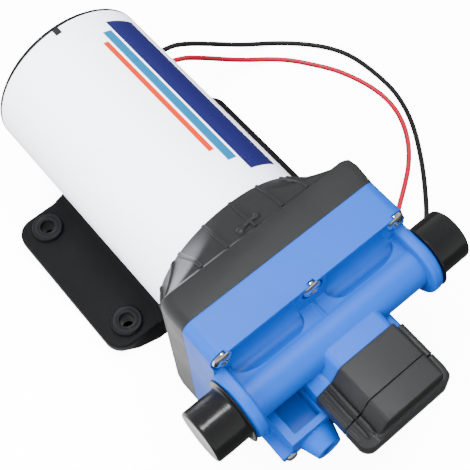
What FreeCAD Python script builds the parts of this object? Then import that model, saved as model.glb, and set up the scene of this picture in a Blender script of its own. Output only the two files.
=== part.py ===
"""Motor-driven diaphragm water pump with two side ports and a pressure switch.

Millimetres, +Z up. The motor axis runs along Y with the pump head towards -Y and the ports
along X. The origin is the centre of the four mounting holes, on the surface the feet stand on.
"""
import FreeCAD, Part
import math
import os

V = FreeCAD.Vector
X_AXIS, Y_AXIS, Z_AXIS = V(1, 0, 0), V(0, 1, 0), V(0, 0, 1)

# Clearances
running_gap = 0.03        # shaft in its bush or bearing
slip_gap = 0.1            # parts that slide together at assembly
thread_gap = 0.05         # screw in its threaded hole
lift_gap = 0.3            # faces that must not touch while something moves

# Mounting base
hole_pitch_x = 100.0
hole_pitch_y = 65.0
base_half_width = 63.5
base_front = -43.0
base_rear = 43.0
base_corner = 9.0
base_thickness = 4.3
apron_bottom = 0.3         # apron under the plate's front edge, above the mounting surface
apron_back = 2.5           # from the plate's front edge to the apron's back
apron_bulge = 3.4          # how far its middle reaches in front of the plate
apron_places = ((42.0, 1.0), (52.3, 0.55), (58.0, 0.0))   # x and share of the bulge
foot_height = 3.2         # rubber below the base plate
foot_cap = 2.8            # rubber above the base plate
foot_radius = 7.6
foot_neck_radius = 5.0
foot_hole_radius = 3.2
saddle_foot = 38.5        # half width where the saddle leaves the plate
saddle_waist = 31.6       # half width half way up its hollow curve
saddle_waist_rise = 4.3
saddle_shoulder = 29.0    # half width where it meets the can
base_screw_inset = 10.0   # from the plate's ends
base_screw_radius = 2.0
base_screw_head_radius = 3.8
base_screw_head = 2.2

# Motor
can_stand = 9.9           # mounting surface to the underside of the can
motor_radius = 40.5
can_wall = 2.0
can_rear = 68.0
can_length = 121.4
bell_depth = 2.5
bell_edge = 1.0
spigot_length = 4.5
air_gap = 0.6
armature_radius = 29.0
armature_length = 56.0
armature_front = -17.0
slot_count = 12
magnet_overhang = 7.0
magnet_half_angle = 62.0
commutator_radius = 11.0
commutator_length = 12.5
winding_length = 8.0
brush_plate_thickness = 3.0
brush_width = 6.0
brush_height = 8.0
brush_length = 9.0
brush_holder_length = 17.0
brush_holder_wall = 1.5
brush_holder_gap = 2.0    # from the commutator to the holders
shaft_radius = 4.0
bush_wall = 2.5
bush_length = 5.5
bearing_radius = 11.0
bearing_width = 7.0
race_wall = 2.1
front_plate_thickness = 4.0
tie_bolt_radius = 2.0
tie_bolt_head = 3.6
tie_bolt_head_length = 2.0

# Cam housing
dome_length = 16.9
flange_thickness = 15.5
flange_lip = 5.3          # border at the back of the flange, which slopes in
flange_flare = 1.0         # how much wider the flange is at its back, on each side
flange_shift = 0.8         # how much further right its back stands
lip_slope = 0.8           # that the border draws in by
lip_round = 1.0           # its rounded rear edge
head_half_width = 49.75
head_top = 97.1
head_bottom = 9.5
head_corner = 5.5
dome_rise = 0.3           # dome above the can where they meet
dome_corner = 10.0        # at the dome's square front end
dome_hollow = 0.5         # how far its flare lags behind a straight one
dome_sections = 5
rib_places = (-27.5, -14.3, 0, 14.3, 27.5)
rib_width = 1.3
rib_height = 0.9
cavity_radius = 32.0
housing_floor = 4.0
diaphragm_radius = 34.5
diaphragm_thickness = 2.0
housing_screw_circle = 26.0
housing_screw_radius = 2.0

# Wobble drive
wobble_angle = 3.5
cam_offset = 16.6         # from the can's front rim to the centre of the wobble
cam_hub_radius = 8.0
cam_hub_gap = 6.6         # from the bearing to the cam's hub
cam_screw_radius = 1.5
journal_radius = 6.0
ball_radius = 10.5
cam_bearing_width = 9.0
cam_bearing_radius = 14.0
wobble_hub_wall = 4.0
wobble_disc_radius = 29.5
wobble_disc_thickness = 3.5
chamber_circle = 21.0
chamber_angles = (30, 150, 270)
pad_radius = 8.4
piston_radius = 8.5
piston_thickness = 2.5
piston_screw_radius = 1.9

# Valve plate
chamber_radius = 11.0
chamber_depth = 5.2
valve_plate_thickness = 9.2
intake_circle = 24.0
intake_valve_radius = 4.0
valve_thickness = 0.8
valve_stem_radius = 1.2
intake_hole_circle = 2.6
intake_hole_radius = 0.8
outlet_circle = 12.5
outlet_valve_radius = 15.0
outlet_hole_radius = 1.5
gallery_depth = 5.0
gallery_wall = 2.5

# Pump head
head_depth = 18.8
tube_radius = 9.9
tube_drop = 11.45         # from the head's front face to the tube axis
tube_height = 70.85
port_bore = 6.5
port_thread_radius = 10.48
port_length = 16.2
port_partition = 12.0
end_plate_radius = 14.7
end_plate_outer_round = 2.8
end_plate_inner_round = 1.4
end_plate_thickness = 5.9
end_plate_face = 50.2
web_drop = 0.8            # web top below the top of the tube
pocket_half_height = 9.4   # of the scoop's oval cross section
pocket_half_depth = 5.9
pocket_lift = 7.0         # centre of the cross section above the web's top
pocket_offset = 3.1       # and in front of the head's face
pocket_half_width = 6.3   # of the ovals that end the scoop, seen from above
pocket_plan_offset = 0.8  # their centre in front of the head's face
pocket_end_length = 14.0
pocket_inner_length = 8.0
pocket_inner = 6.8
pocket_outer = 42.1
screw_radius = 2.4
screw_head_radius = 4.6
screw_head_height = 2.8
screw_sink = 1.7          # seat below the face that it is cut in
screw_seat_gap = 0.7      # round the head in its seat
screw_inset = 5.15
screw_reach = 9.0         # thread length in the cam housing
driver_way = 30.0         # free way for the driver in front of each head screw
middle_screw_x = 40.1
middle_screw_z = 42.0

# Front block with the bypass nozzle
block_left = -44.3
block_right = -18.0
block_top = 47.0
block_bottom = 41.0
block_edge = 4.2          # rounding of its lower left edge
block_screw_x = -39.9
block_screw_z = 44.6
block_screw_radius = 1.5
block_screw_head_radius = 2.75
block_screw_head_height = 1.9
block_screw_length = 12.0
block_front = -138.1
frame_left = -39.4
frame_right = -19.8
frame_top = 55.6
frame_wall = 3.2
frame_side_wall = 4.0
nozzle_x = -26.4
nozzle_z = 43.7
nozzle_base_radius = 8.6
nozzle_tip_radius = 6.0
nozzle_length = 8.0
bypass_bore = 3.2
bypass_roof = 1.5         # material left over the bypass bore
bypass_port_radius = 1.1
bypass_plug_length = 9.0
bypass_poppet_length = 7.0
bypass_spring_length = 10.0

# Pressure switch
switch_x = 1.5
switch_rear = -131.8
switch_seam = -148.9
switch_front = -161.4
switch_hump_front = -159.3
switch_left = -21.4
switch_right = 25.2
switch_bottom = 31.0
switch_step = 58.0        # underside of the wide upper part
lower_left = -13.5
lower_right = 16.5
lower_front = -156.0
switch_rim_top = 68.3
switch_hump_top = 78.4
switch_hump_left = -10.2
switch_hump_right = 19.0
hump_slope = 4.4
hump_draft = 1.2
switch_corner = 2.0
switch_front_corner = 5.0
boss_inset = 0.35
hump_corner = 1.6
boss_corner = 3.2
switch_wall = 3.0
seam_gap = 0.35
switch_cavity_left = -10.8
switch_cavity_right = 13.8
switch_cavity_bottom = 39.5
switch_cavity_top = 72.0
switch_front_wall = 4.5
switch_diaphragm_radius = 12.5
switch_diaphragm_thickness = 1.2
plunger_radius = 8.0
plunger_stem_radius = 2.5
plunger_thickness = 3.0
switch_spring_radius = 5.0
adjuster_radius = 3.0
microswitch_width = 20.0
microswitch_height = 10.5
microswitch_depth = 7.5
button_radius = 1.2
button_stand = 1.5
switch_screw_radius = 1.5
switch_screw_head_radius = 2.8
switch_screw_head_height = 2.0
terminal_width = 4.8
terminal_thickness = 0.8

# Port caps
cap_wall = 1.3
cap_end = 1.2
cap_flange_radius = 14.7
cap_flange_thickness = 1.6

# Leads
lead_radius = 1.3
lead_turn_share = 0.45
lead_pitch = 3.6
switch_grommet_radius = 4.6
switch_grommet_drop = 4.0
switch_grommet_y = -143.0
motor_grommet_y = 57.0
motor_grommet_z = 39.5
motor_grommet_length = 15.0
motor_grommet_height = 6.4
motor_grommet_reach = 4.6
motor_lead_pitch = 7.6

# Places that follow from the sizes above
can_front = can_rear - can_length
can_inner = motor_radius - can_wall
flange_rear = can_front - dome_length
seam_y = flange_rear - flange_thickness
head_front = seam_y - head_depth
tube_y = head_front - tube_drop
screw_seat = head_front + screw_sink
cam_y = can_front - cam_offset
plate_top = foot_height + base_thickness
diaphragm_rear = seam_y + diaphragm_thickness
valve_front = seam_y - valve_plate_thickness
piston_front = seam_y - piston_thickness
gallery_front = valve_front - gallery_depth
axis_height = can_stand + motor_radius
bell_inner = can_rear - spigot_length
commutator_rear = bell_inner - brush_plate_thickness - 1.0
armature_rear = armature_front + armature_length
bearing_front = can_front + 1.5
web_top = tube_height + tube_radius - web_drop
wobble_disc_rear = cam_y - 6.3
pad_rear = wobble_disc_rear - wobble_disc_thickness
motor_grommet_x = motor_radius * math.cos(math.asin((axis_height - motor_grommet_z) / motor_radius))


def cylinder_y(radius, y_rear, y_front, x=0.0, z=axis_height):
    """Round bar along Y between two places."""
    return Part.makeCylinder(radius, y_rear - y_front, V(x, y_front, z), Y_AXIS)


def cylinder_x(radius, x_low, x_high, y, z):
    return Part.makeCylinder(radius, x_high - x_low, V(x_low, y, z), X_AXIS)


def cylinder_z(radius, z_low, z_high, x, y):
    return Part.makeCylinder(radius, z_high - z_low, V(x, y, z_low), Z_AXIS)


def ring_y(outer, inner, y_rear, y_front, x=0.0, z=axis_height):
    bore = cylinder_y(inner, y_rear + 1, y_front - 1, x, z)
    return cylinder_y(outer, y_rear, y_front, x, z).cut(bore)


def block(x_low, x_high, y_low, y_high, z_low, z_high):
    return Part.makeBox(x_high - x_low, y_high - y_low, z_high - z_low, V(x_low, y_low, z_low))


def prism_y(points, y_rear, y_front):
    """Straight-sided outline given as (x, z) points, extruded towards -Y."""
    corners = [V(x, y_rear, z) for x, z in points]
    face = Part.Face(Part.makePolygon(corners + corners[:1]))
    return face.extrude(V(0, y_front - y_rear, 0))


def rounded_wire(half_width, z_low, z_high, corner, y):
    """Rectangle with round corners in the XZ plane at the given y."""
    edges = []
    centres = [(half_width - corner, z_high - corner, 0), (corner - half_width, z_high - corner, 90),
               (corner - half_width, z_low + corner, 180), (half_width - corner, z_low + corner, 270)]
    arcs = []
    for x, z, start in centres:
        angles = [math.radians(start + turn) for turn in (0, 45, 90)]
        arcs.append([V(x + corner * math.cos(a), y, z + corner * math.sin(a)) for a in angles])
    for index, arc in enumerate(arcs):
        following = arcs[(index + 1) % 4]
        edges.append(Part.Arc(arc[0], arc[1], arc[2]).toShape())
        edges.append(Part.LineSegment(arc[2], following[0]).toShape())
    return Part.Wire(edges)


def rounded_plate(inset, y_rear, y_front):
    """Slab with the head's outline, drawn in by an inset."""
    corner = max(head_corner - inset, 1.0)
    wire = rounded_wire(head_half_width - inset, head_bottom + inset, head_top - inset, corner, y_rear)
    return Part.Face(wire).extrude(V(0, y_front - y_rear, 0))


def revolve_y(points, x=0.0, z=axis_height):
    """Outline given as (radius, y) points, turned round an axis along Y."""
    corners = [V(x + radius, y, z) for radius, y in points]
    face = Part.Face(Part.makePolygon(corners + corners[:1]))
    return face.revolve(V(x, 0, z), Y_AXIS, 360)


def polar(radius, angle):
    """Place in the XZ plane round the motor axis, angle counted from +X towards +Z."""
    turn = math.radians(angle)
    return radius * math.cos(turn), axis_height + radius * math.sin(turn)


def edges_along(shape, direction, test):
    """Straight edges of a shape that run along a direction and pass a test on their middle."""
    chosen = []
    for edge in shape.Edges:
        if not isinstance(edge.Curve, Part.Line):
            continue
        tangent = edge.Curve.Direction
        if abs(abs(tangent.dot(direction)) - 1) < 1e-6 and test(edge.CenterOfMass):
            chosen.append(edge)
    return chosen


def tilt(shape):
    """Lean a piece of the wobble drive over by the cam's angle, about the centre of the wobble."""
    leaned = shape.copy()
    leaned.rotate(V(0, cam_y, axis_height), X_AXIS, wobble_angle)
    return leaned


def save(name, shape):
    solids = shape if isinstance(shape, list) else [shape]
    solid_count = sum(len(piece.Solids) for piece in solids)
    whole = solids[0] if len(solids) == 1 else Part.makeCompound(solids)
    if not whole.isValid() or solid_count == 0:
        raise ValueError(name + " is not a valid solid")
    whole.exportStep("parts/" + name + ".step")


def foot_places():
    half_x, half_y = hole_pitch_x / 2, hole_pitch_y / 2
    return [(sx * half_x, sy * half_y) for sx in (-1, 1) for sy in (-1, 1)]


def base_plate():
    plate = block(-base_half_width, base_half_width, base_front, base_rear, foot_height, plate_top)
    plate = plate.makeFillet(base_corner, edges_along(plate, Z_AXIS, lambda middle: True))
    top_rim = [edge for edge in plate.Edges if edge.BoundBox.ZMin > plate_top - 0.01]
    plate = plate.makeFillet(1.2, top_rim).fuse(apron())
    motor_space = cylinder_y(motor_radius + slip_gap, base_rear + 1, base_front - 1)
    whole = plate.fuse(saddle()).cut(motor_space)
    for x, y in foot_places():
        whole = whole.cut(cylinder_z(foot_neck_radius, 0, plate_top + 1, x, y))
    for y in base_screw_places():
        whole = whole.cut(cylinder_z(base_screw_radius + slip_gap, 0, axis_height, 0, y))
        whole = whole.cut(cylinder_z(base_screw_head_radius + slip_gap, 0, foot_height + base_screw_head, 0,
                                     y))
    return whole.removeSplitter()


def apron():
    """Apron under the plate's front edge that bulges forward at the bottom."""
    back = base_front + apron_back
    wires = []
    for z, bulge in ((apron_bottom, apron_bulge), (plate_top - 1.5, -0.1)):
        row = [(x, base_front - bulge * share + (apron_back - 0.5) * (1 - share))
               for x, share in apron_places]
        end = apron_places[-1][0]
        plan = [(-x, y) for x, y in reversed(row)] + row + [(end, back), (-end, back)]
        corners = [V(x, y, z) for x, y in plan]
        wires.append(Part.makePolygon(corners + corners[:1]))
    return Part.makeLoft(wires, True, True)


def saddle():
    """Cradle of the can along the whole plate, with hollow curved flanks."""
    shoulder_z = axis_height - math.sqrt(motor_radius ** 2 - saddle_shoulder ** 2)
    edges = []
    for side in (-1, 1):
        foot = V(side * saddle_foot, base_rear, plate_top)
        waist = V(side * saddle_waist, base_rear, plate_top + saddle_waist_rise)
        shoulder = V(side * saddle_shoulder, base_rear, shoulder_z)
        root = V(side * saddle_foot, base_rear, plate_top - 1)
        edges.append([Part.LineSegment(root, foot).toShape(), Part.Arc(foot, waist, shoulder).toShape(),
                      root, shoulder])
    left, right = edges
    outline = [left[0], left[1], Part.LineSegment(left[3], right[3]).toShape(), right[1], right[0],
               Part.LineSegment(right[2], left[2]).toShape()]
    return Part.Face(Part.Wire(Part.__sortEdges__(outline))).extrude(V(0, base_front - base_rear, 0))


def base_screw_places():
    return (base_front + base_screw_inset, base_rear - base_screw_inset)


def base_screws():
    screws = []
    shank_top = axis_height - can_inner + 1.0
    for y in base_screw_places():
        head = cylinder_z(base_screw_head_radius, foot_height, foot_height + base_screw_head, 0, y)
        shank = cylinder_z(base_screw_radius, foot_height + base_screw_head - 0.1, shank_top, 0, y)
        screws.append(head.fuse(shank).removeSplitter())
    return screws


def foot_grommets():
    feet = []
    for x, y in foot_places():
        foot = cylinder_z(foot_radius, 0, foot_height, x, y)
        foot = foot.fuse(cylinder_z(foot_neck_radius - running_gap, 0, plate_top + foot_cap, x, y))
        foot = foot.fuse(cylinder_z(foot_radius, plate_top, plate_top + foot_cap, x, y))
        feet.append(foot.cut(cylinder_z(foot_hole_radius, -1, plate_top + foot_cap + 1, x,
                                        y)).removeSplitter())
    return feet


def motor_can():
    can = ring_y(motor_radius, can_inner, can_rear, can_front)
    for y in base_screw_places():
        can = can.cut(cylinder_z(base_screw_radius + thread_gap, 0, axis_height, 0, y))
    return can.cut(motor_grommet_core(slip_gap))


def tie_bolt_places():
    reach = can_inner - tie_bolt_head - slip_gap
    return [(0, axis_height + sign * reach) for sign in (-1, 1)]


def rear_end_bell():
    inner = can_inner - running_gap
    hub = commutator_hub_radius()
    spigot, face = inner - 2, can_rear - 0.5
    rear = can_rear + bell_depth
    outline = [(0, rear), (motor_radius - bell_edge, rear), (motor_radius, rear - bell_edge),
               (motor_radius, can_rear), (inner, can_rear), (inner, bell_inner), (spigot, bell_inner),
               (spigot, face), (hub, face), (hub, can_rear - bush_length), (0, can_rear - bush_length)]
    bell = revolve_y(outline)
    bell = bell.cut(cylinder_y(shaft_radius + bush_wall + running_gap, can_rear, can_rear - bush_length - 1))
    bell = bell.cut(cylinder_y(shaft_radius + 1, can_rear + 1.2, can_rear - 1))
    for x, z in tie_bolt_places():
        bell = bell.cut(cylinder_y(tie_bolt_radius + slip_gap, rear + 1, bell_inner - 1, x, z))
        bell = bell.cut(cylinder_y(tie_bolt_head + slip_gap, rear + 1, rear - tie_bolt_head_length, x, z))
    return bell


def commutator_hub_radius():
    return shaft_radius + bush_wall + 2.6


def rear_bush():
    return ring_y(shaft_radius + bush_wall, shaft_radius + running_gap, can_rear, can_rear - bush_length)


def motor_magnets():
    inner = armature_radius + air_gap
    front, rear = armature_front - magnet_overhang, armature_rear + magnet_overhang
    shell = ring_y(can_inner - running_gap, inner, rear, front)
    magnets = []
    for side in (-1, 1):
        reach = 2 * motor_radius
        half = math.radians(magnet_half_angle)
        wedge = prism_y([(0, axis_height), (side * reach * math.cos(half),
                                            axis_height - reach * math.sin(half)),
                         (side * reach * 2, axis_height - reach * math.sin(half)),
                         (side * reach * 2, axis_height + reach * math.sin(half)),
                         (side * reach * math.cos(half), axis_height + reach * math.sin(half))],
                        rear + 1, front - 1)
        magnets.append(shell.common(wedge))
    return magnets


def armature_core():
    core = cylinder_y(armature_radius, armature_rear, armature_front)
    core = core.cut(cylinder_y(shaft_radius, armature_rear + 1, armature_front - 1))
    slot_circle = armature_radius - slot_radius() - 2.0
    for index in range(slot_count):
        angle = 360.0 * index / slot_count
        x, z = polar(slot_circle, angle)
        core = core.cut(cylinder_y(slot_radius(), armature_rear + 1, armature_front - 1, x, z))
        mouth = block(slot_circle, armature_radius + 1, armature_front - 1, armature_rear + 1,
                      axis_height - 1.2, axis_height + 1.2)
        mouth.rotate(V(0, 0, axis_height), Y_AXIS, -angle)
        core = core.cut(mouth)
    return core


def slot_radius():
    return armature_radius * 0.13


def armature_winding():
    """Copper in the slots, joined by the end turns."""
    slot_circle = armature_radius - slot_radius() - 2.0
    inner = shaft_radius + 2.0
    outer = slot_circle + slot_radius() - 0.2
    copper = ring_y(outer, inner, armature_front - lift_gap, armature_front - winding_length)
    copper = copper.fuse(ring_y(outer, inner, armature_rear + winding_length, armature_rear + lift_gap))
    for index in range(slot_count):
        x, z = polar(slot_circle, 360.0 * index / slot_count)
        copper = copper.fuse(cylinder_y(slot_radius() - slip_gap, armature_rear + 1, armature_front - 1, x,
                                        z))
    return copper.removeSplitter()


def commutator():
    front = commutator_rear - commutator_length
    drum = ring_y(commutator_radius, shaft_radius, commutator_rear, front)
    groove_depth = 1.2
    for index in range(slot_count):
        groove = block(commutator_radius - groove_depth, commutator_radius + 1, front - 1,
                       commutator_rear + 1,
                       axis_height - 0.3, axis_height + 0.3)
        groove.rotate(V(0, 0, axis_height), Y_AXIS, -360.0 * (index + 0.5) / slot_count)
        drum = drum.cut(groove)
    return drum


def brush_box(side, grow, inner, outer):
    """Radial box of the brush's section on one side of the commutator."""
    middle = commutator_rear - commutator_length / 2
    low, high = sorted((side * inner, side * outer))
    half_y, half_z = brush_height / 2 + grow, brush_width / 2 + grow
    return block(low, high, middle - half_y, middle + half_y, axis_height - half_z, axis_height + half_z)


def brush_plate():
    inner = commutator_radius + 3.0
    rear = bell_inner
    plate = ring_y(can_inner - slip_gap, inner, rear, rear - brush_plate_thickness)
    holder_wall = brush_holder_wall
    holder_inner = commutator_radius + brush_holder_gap
    holder_outer = holder_inner + brush_holder_length
    for side in (-1, 1):
        holder = brush_box(side, holder_wall, holder_inner, holder_outer)
        low, high = sorted((side * holder_inner, side * holder_outer))
        leg = block(low, high, commutator_rear - commutator_length / 2, rear - brush_plate_thickness,
                    axis_height - brush_width / 2 - holder_wall, axis_height + brush_width / 2 + holder_wall)
        plate = plate.fuse(holder.fuse(leg))
        plate = plate.cut(brush_box(side, slip_gap, commutator_radius, holder_outer - holder_wall))
    for x, z in tie_bolt_places():
        plate = plate.cut(cylinder_y(tie_bolt_radius + slip_gap, rear + 1, rear - brush_plate_thickness - 1,
                                     x, z))
    return plate.removeSplitter()


def carbon_brushes():
    start = commutator_radius + slip_gap
    return [brush_box(side, 0, start, start + brush_length) for side in (-1, 1)]


def brush_springs():
    """Coil springs behind the brushes, as plain rods."""
    start = commutator_radius + slip_gap + brush_length
    end = commutator_radius + brush_holder_gap + brush_holder_length - brush_holder_wall
    middle = commutator_rear - commutator_length / 2
    springs = []
    for side in (-1, 1):
        low, high = sorted((side * start, side * end))
        springs.append(cylinder_x(brush_width / 2 - 0.4, low, high, middle, axis_height))
    return springs


def front_motor_plate():
    """Steel plate that closes the can's front and carries the front bearing."""
    pocket = bearing_radius + running_gap
    hub = bearing_radius + 2.5
    inner = can_inner - running_gap
    outline = [(shaft_radius + 3.0, can_front), (inner, can_front),
               (inner, can_front + front_plate_thickness),
               (hub, can_front + front_plate_thickness), (hub, bearing_front + bearing_width),
               (pocket, bearing_front + bearing_width), (pocket, bearing_front),
               (shaft_radius + 3.0, bearing_front)]
    plate = revolve_y(outline)
    for x, z in tie_bolt_places():
        plate = plate.cut(cylinder_y(tie_bolt_radius + thread_gap, can_front + 20, can_front - 1, x, z))
    for angle in housing_screw_angles():
        x, z = polar(housing_screw_circle, angle)
        plate = plate.cut(cylinder_y(housing_screw_radius + thread_gap, can_front + 20, can_front - 1, x, z))
    return plate


def housing_screw_angles():
    return (0, 60, 120, 180, 240, 300)


def tie_bolts():
    bolts = []
    for x, z in tie_bolt_places():
        rear = can_rear + bell_depth
        seat = rear - tie_bolt_head_length
        bolt = cylinder_y(tie_bolt_head, rear, seat, x, z)
        bolt = bolt.fuse(cylinder_y(tie_bolt_radius, seat + 0.1, can_front + 0.3, x, z))
        bolts.append(bolt.removeSplitter())
    return bolts


def front_bearing_outer():
    return ring_y(bearing_radius, bearing_radius - race_wall, bearing_front + bearing_width, bearing_front)


def front_bearing_inner():
    return ring_y(shaft_radius + race_wall, shaft_radius, bearing_front + bearing_width, bearing_front)


def front_bearing_balls():
    inner, outer = shaft_radius + race_wall, bearing_radius - race_wall
    ball = (outer - inner) / 2 - running_gap
    middle = bearing_front + bearing_width / 2
    balls = []
    for index in range(8):
        x, z = polar((inner + outer) / 2, 45.0 * index)
        balls.append(Part.makeSphere(ball, V(x, middle, z)))
    return balls


def rotor_shaft():
    return cylinder_y(shaft_radius - running_gap, can_rear - 0.5, cam_y - cam_bearing_width / 2)


def drive_cam():
    """Hub on the shaft whose journal leans over by the wobble angle."""
    hub = cylinder_y(cam_hub_radius, bearing_front - cam_hub_gap, cam_y + cam_bearing_width / 2 + 1.3)
    journal = tilt(cylinder_y(journal_radius, cam_y + cam_bearing_width / 2 + 2.5,
                              cam_y - cam_bearing_width / 2))
    cam = hub.fuse(journal).cut(cylinder_y(shaft_radius, can_front, cam_y - 20))
    screw_y = bearing_front - cam_hub_gap - 3.0
    return cam.cut(cylinder_z(cam_screw_radius + thread_gap, axis_height, axis_height + 20, 0, screw_y))


def cam_set_screw():
    screw_y = bearing_front - cam_hub_gap - 3.0
    return cylinder_z(cam_screw_radius, axis_height + shaft_radius, axis_height + cam_hub_radius - 0.2, 0,
                      screw_y)


def wobble_sphere(radius):
    return Part.makeSphere(radius, V(0, cam_y, axis_height))


def cam_bearing_inner():
    half = cam_bearing_width / 2
    race = wobble_sphere(ball_radius).common(cylinder_y(ball_radius + 1, cam_y + half, cam_y - half))
    race = race.cut(cylinder_y(journal_radius + running_gap, cam_y + 20, cam_y - 20))
    return tilt(race)


def cam_bearing_outer():
    half = cam_bearing_width / 2
    race = cylinder_y(cam_bearing_radius, cam_y + half, cam_y - half)
    return tilt(race.cut(wobble_sphere(ball_radius + running_gap)))


def chamber_places():
    return [polar(chamber_circle, angle) for angle in chamber_angles]


def wobble_plate():
    """Hub round the cam bearing, a disc in front of it and a pad for each piston."""
    half = cam_bearing_width / 2
    bore = cam_bearing_radius + running_gap
    hub = bore + wobble_hub_wall
    outline = [(0, wobble_disc_rear), (bore - 1.5, wobble_disc_rear), (bore - 1.5, cam_y - half),
               (bore, cam_y - half), (bore, cam_y + half), (hub, cam_y + half), (hub, wobble_disc_rear),
               (wobble_disc_radius, wobble_disc_rear), (wobble_disc_radius, pad_rear), (0, pad_rear)]
    plate = revolve_y(outline)
    for x, z in chamber_places():
        plate = plate.fuse(cylinder_y(pad_radius, pad_rear + 0.5, diaphragm_rear, x, z))
        plate = plate.cut(cylinder_y(piston_screw_radius + thread_gap, wobble_disc_rear + 0.5, seam_y, x, z))
    return tilt(plate.removeSplitter())


def pistons():
    discs = []
    for x, z in chamber_places():
        disc = cylinder_y(piston_radius, seam_y, piston_front, x, z)
        disc = disc.cut(piston_screw(x, z, slip_gap))
        discs.append(tilt(disc))
    return discs


def piston_screw(x, z, grow):
    """Countersunk screw, drawn larger by a clearance where it stands for the hole."""
    shank = piston_screw_radius + grow
    outline = [(0, wobble_disc_rear - 0.3), (shank, wobble_disc_rear - 0.3), (shank, piston_front + 1.9),
               (shank + 1.9, piston_front), (0, piston_front)]
    return revolve_y(outline, x, z)


def piston_screws():
    return [tilt(piston_screw(x, z, 0)) for x, z in chamber_places()]


def dome(proud):
    """Flared part of the cam housing, round at the can and square at the flange."""
    inset = lip_slope + lip_round + 0.1 - proud
    root = motor_radius + dome_rise + proud
    wires = []
    for index in range(dome_sections):
        along = index / (dome_sections - 1)
        share = along - dome_hollow * along * (1 - along)
        half = root + (head_half_width - inset - root) * share
        low = axis_height - root + (head_bottom + inset - axis_height + root) * share
        high = axis_height + root + (head_top - inset - axis_height - root) * share
        corner = root - 0.5 + (dome_corner - root + 0.5) * share
        wires.append(rounded_wire(half, low, high, corner, can_front - dome_length * along))
    return Part.makeLoft(wires, True, False)


def housing_ribs():
    """Raised lines along the four sides of the dome, each in a plane along the axis."""
    reach = head_half_width
    slabs = []
    for place in rib_places:
        low, high = place - rib_width / 2, place + rib_width / 2
        slabs.append(block(low, high, flange_rear, can_front, axis_height - reach, axis_height + reach))
        slabs.append(block(-reach, reach, flange_rear, can_front, axis_height + low, axis_height + high))
    return dome(rib_height).common(slabs[0].fuse(slabs[1:]))


def flange_border():
    """Flange that widens towards its back, where its border is drawn in and rounded at the edge."""
    steps = ((flange_rear, lip_slope + lip_round), (flange_rear - lip_round, lip_slope),
             (flange_rear - flange_lip, 0), (seam_y, 0))
    wires = []
    for y, inset in steps:
        share = (y - seam_y) / flange_thickness
        half_width = head_half_width + flange_flare * share - inset
        wire = rounded_wire(half_width, head_bottom + inset, head_top - inset, head_corner, y)
        wire.translate(V(flange_shift * share, 0, 0))
        wires.append(wire)
    lofts = [Part.makeLoft([rear, front], True, True) for rear, front in zip(wires, wires[1:])]
    return lofts[0].fuse(lofts[1:])


def cam_housing():
    housing = dome(0).fuse([housing_ribs(), flange_border()])
    housing = housing.cut(cylinder_y(cavity_radius, can_front - housing_floor, seam_y - 1))
    housing = housing.cut(cylinder_y(diaphragm_radius + slip_gap, diaphragm_rear, seam_y - 1))
    housing = housing.cut(cylinder_y(cam_hub_radius + 1.0, can_front + 1, can_front - housing_floor - 1))
    for angle in housing_screw_angles():
        x, z = polar(housing_screw_circle, angle)
        housing = housing.cut(cylinder_y(housing_screw_radius + slip_gap, can_front + 1,
                                         can_front - housing_floor - 1, x, z))
    for x, z in head_screw_places():
        housing = housing.cut(cylinder_y(screw_radius + thread_gap, seam_y + screw_reach + 1.0, seam_y - 1,
                                         x, z))
    return housing.removeSplitter()


def housing_screws():
    screws = []
    front = can_front - housing_floor
    for angle in housing_screw_angles():
        x, z = polar(housing_screw_circle, angle)
        head = cylinder_y(housing_screw_radius + 1.5, front, front - 2.2, x, z)
        shank = cylinder_y(housing_screw_radius, can_front + front_plate_thickness - 0.3, front - 0.1, x, z)
        screws.append(head.fuse(shank).removeSplitter())
    return screws


def diaphragm():
    """Rubber sheet clamped at its rim, with a pad pressed out for each piston."""
    sheet = cylinder_y(diaphragm_radius, diaphragm_rear, seam_y)
    for x, z in chamber_places():
        sheet = sheet.cut(tilt(cylinder_y(piston_radius + 0.8, diaphragm_rear + 8, seam_y - 8, x, z)))
    for x, z in chamber_places():
        sheet = sheet.fuse(tilt(cylinder_y(piston_radius + 1.1, diaphragm_rear, seam_y, x, z)))
        shank = cylinder_y(piston_screw_radius + slip_gap, diaphragm_rear + 8, seam_y - 8, x, z)
        sheet = sheet.cut(tilt(shank))
    return sheet


def valve_plate():
    plate = cylinder_y(diaphragm_radius, seam_y, valve_front)
    floor = seam_y - chamber_depth
    for angle in chamber_angles:
        x, z = polar(chamber_circle, angle)
        plate = plate.cut(cylinder_y(chamber_radius, seam_y + 1, floor, x, z))
        x, z = polar(intake_circle, angle)
        plate = plate.cut(cylinder_y(intake_valve_radius + lift_gap, seam_y, floor - valve_thickness, x, z))
        plate = plate.cut(cylinder_y(valve_stem_radius + slip_gap, seam_y, valve_front - 1, x, z))
        for turn in (0, 90, 180, 270):
            hole_x = x + intake_hole_circle * math.cos(math.radians(turn))
            hole_z = z + intake_hole_circle * math.sin(math.radians(turn))
            plate = plate.cut(cylinder_y(intake_hole_radius, seam_y, valve_front - 1, hole_x, hole_z))
        x, z = polar(outlet_circle, angle)
        plate = plate.cut(cylinder_y(outlet_hole_radius, seam_y, valve_front - 1, x, z))
    return plate.cut(cylinder_y(valve_stem_radius + slip_gap, valve_front + 4.0, valve_front - 1))


def intake_valves():
    floor = seam_y - chamber_depth
    valves = []
    for angle in chamber_angles:
        x, z = polar(intake_circle, angle)
        valve = cylinder_y(intake_valve_radius, floor, floor - valve_thickness, x, z)
        valve = valve.fuse(cylinder_y(valve_stem_radius, floor - 0.1, valve_front - 1.5, x, z))
        valves.append(valve.removeSplitter())
    return valves


def outlet_valve():
    flap = cylinder_y(outlet_valve_radius, valve_front, valve_front - 1.0)
    return flap.fuse(cylinder_y(valve_stem_radius, valve_front + 3.8, valve_front - 0.1)).removeSplitter()


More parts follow.
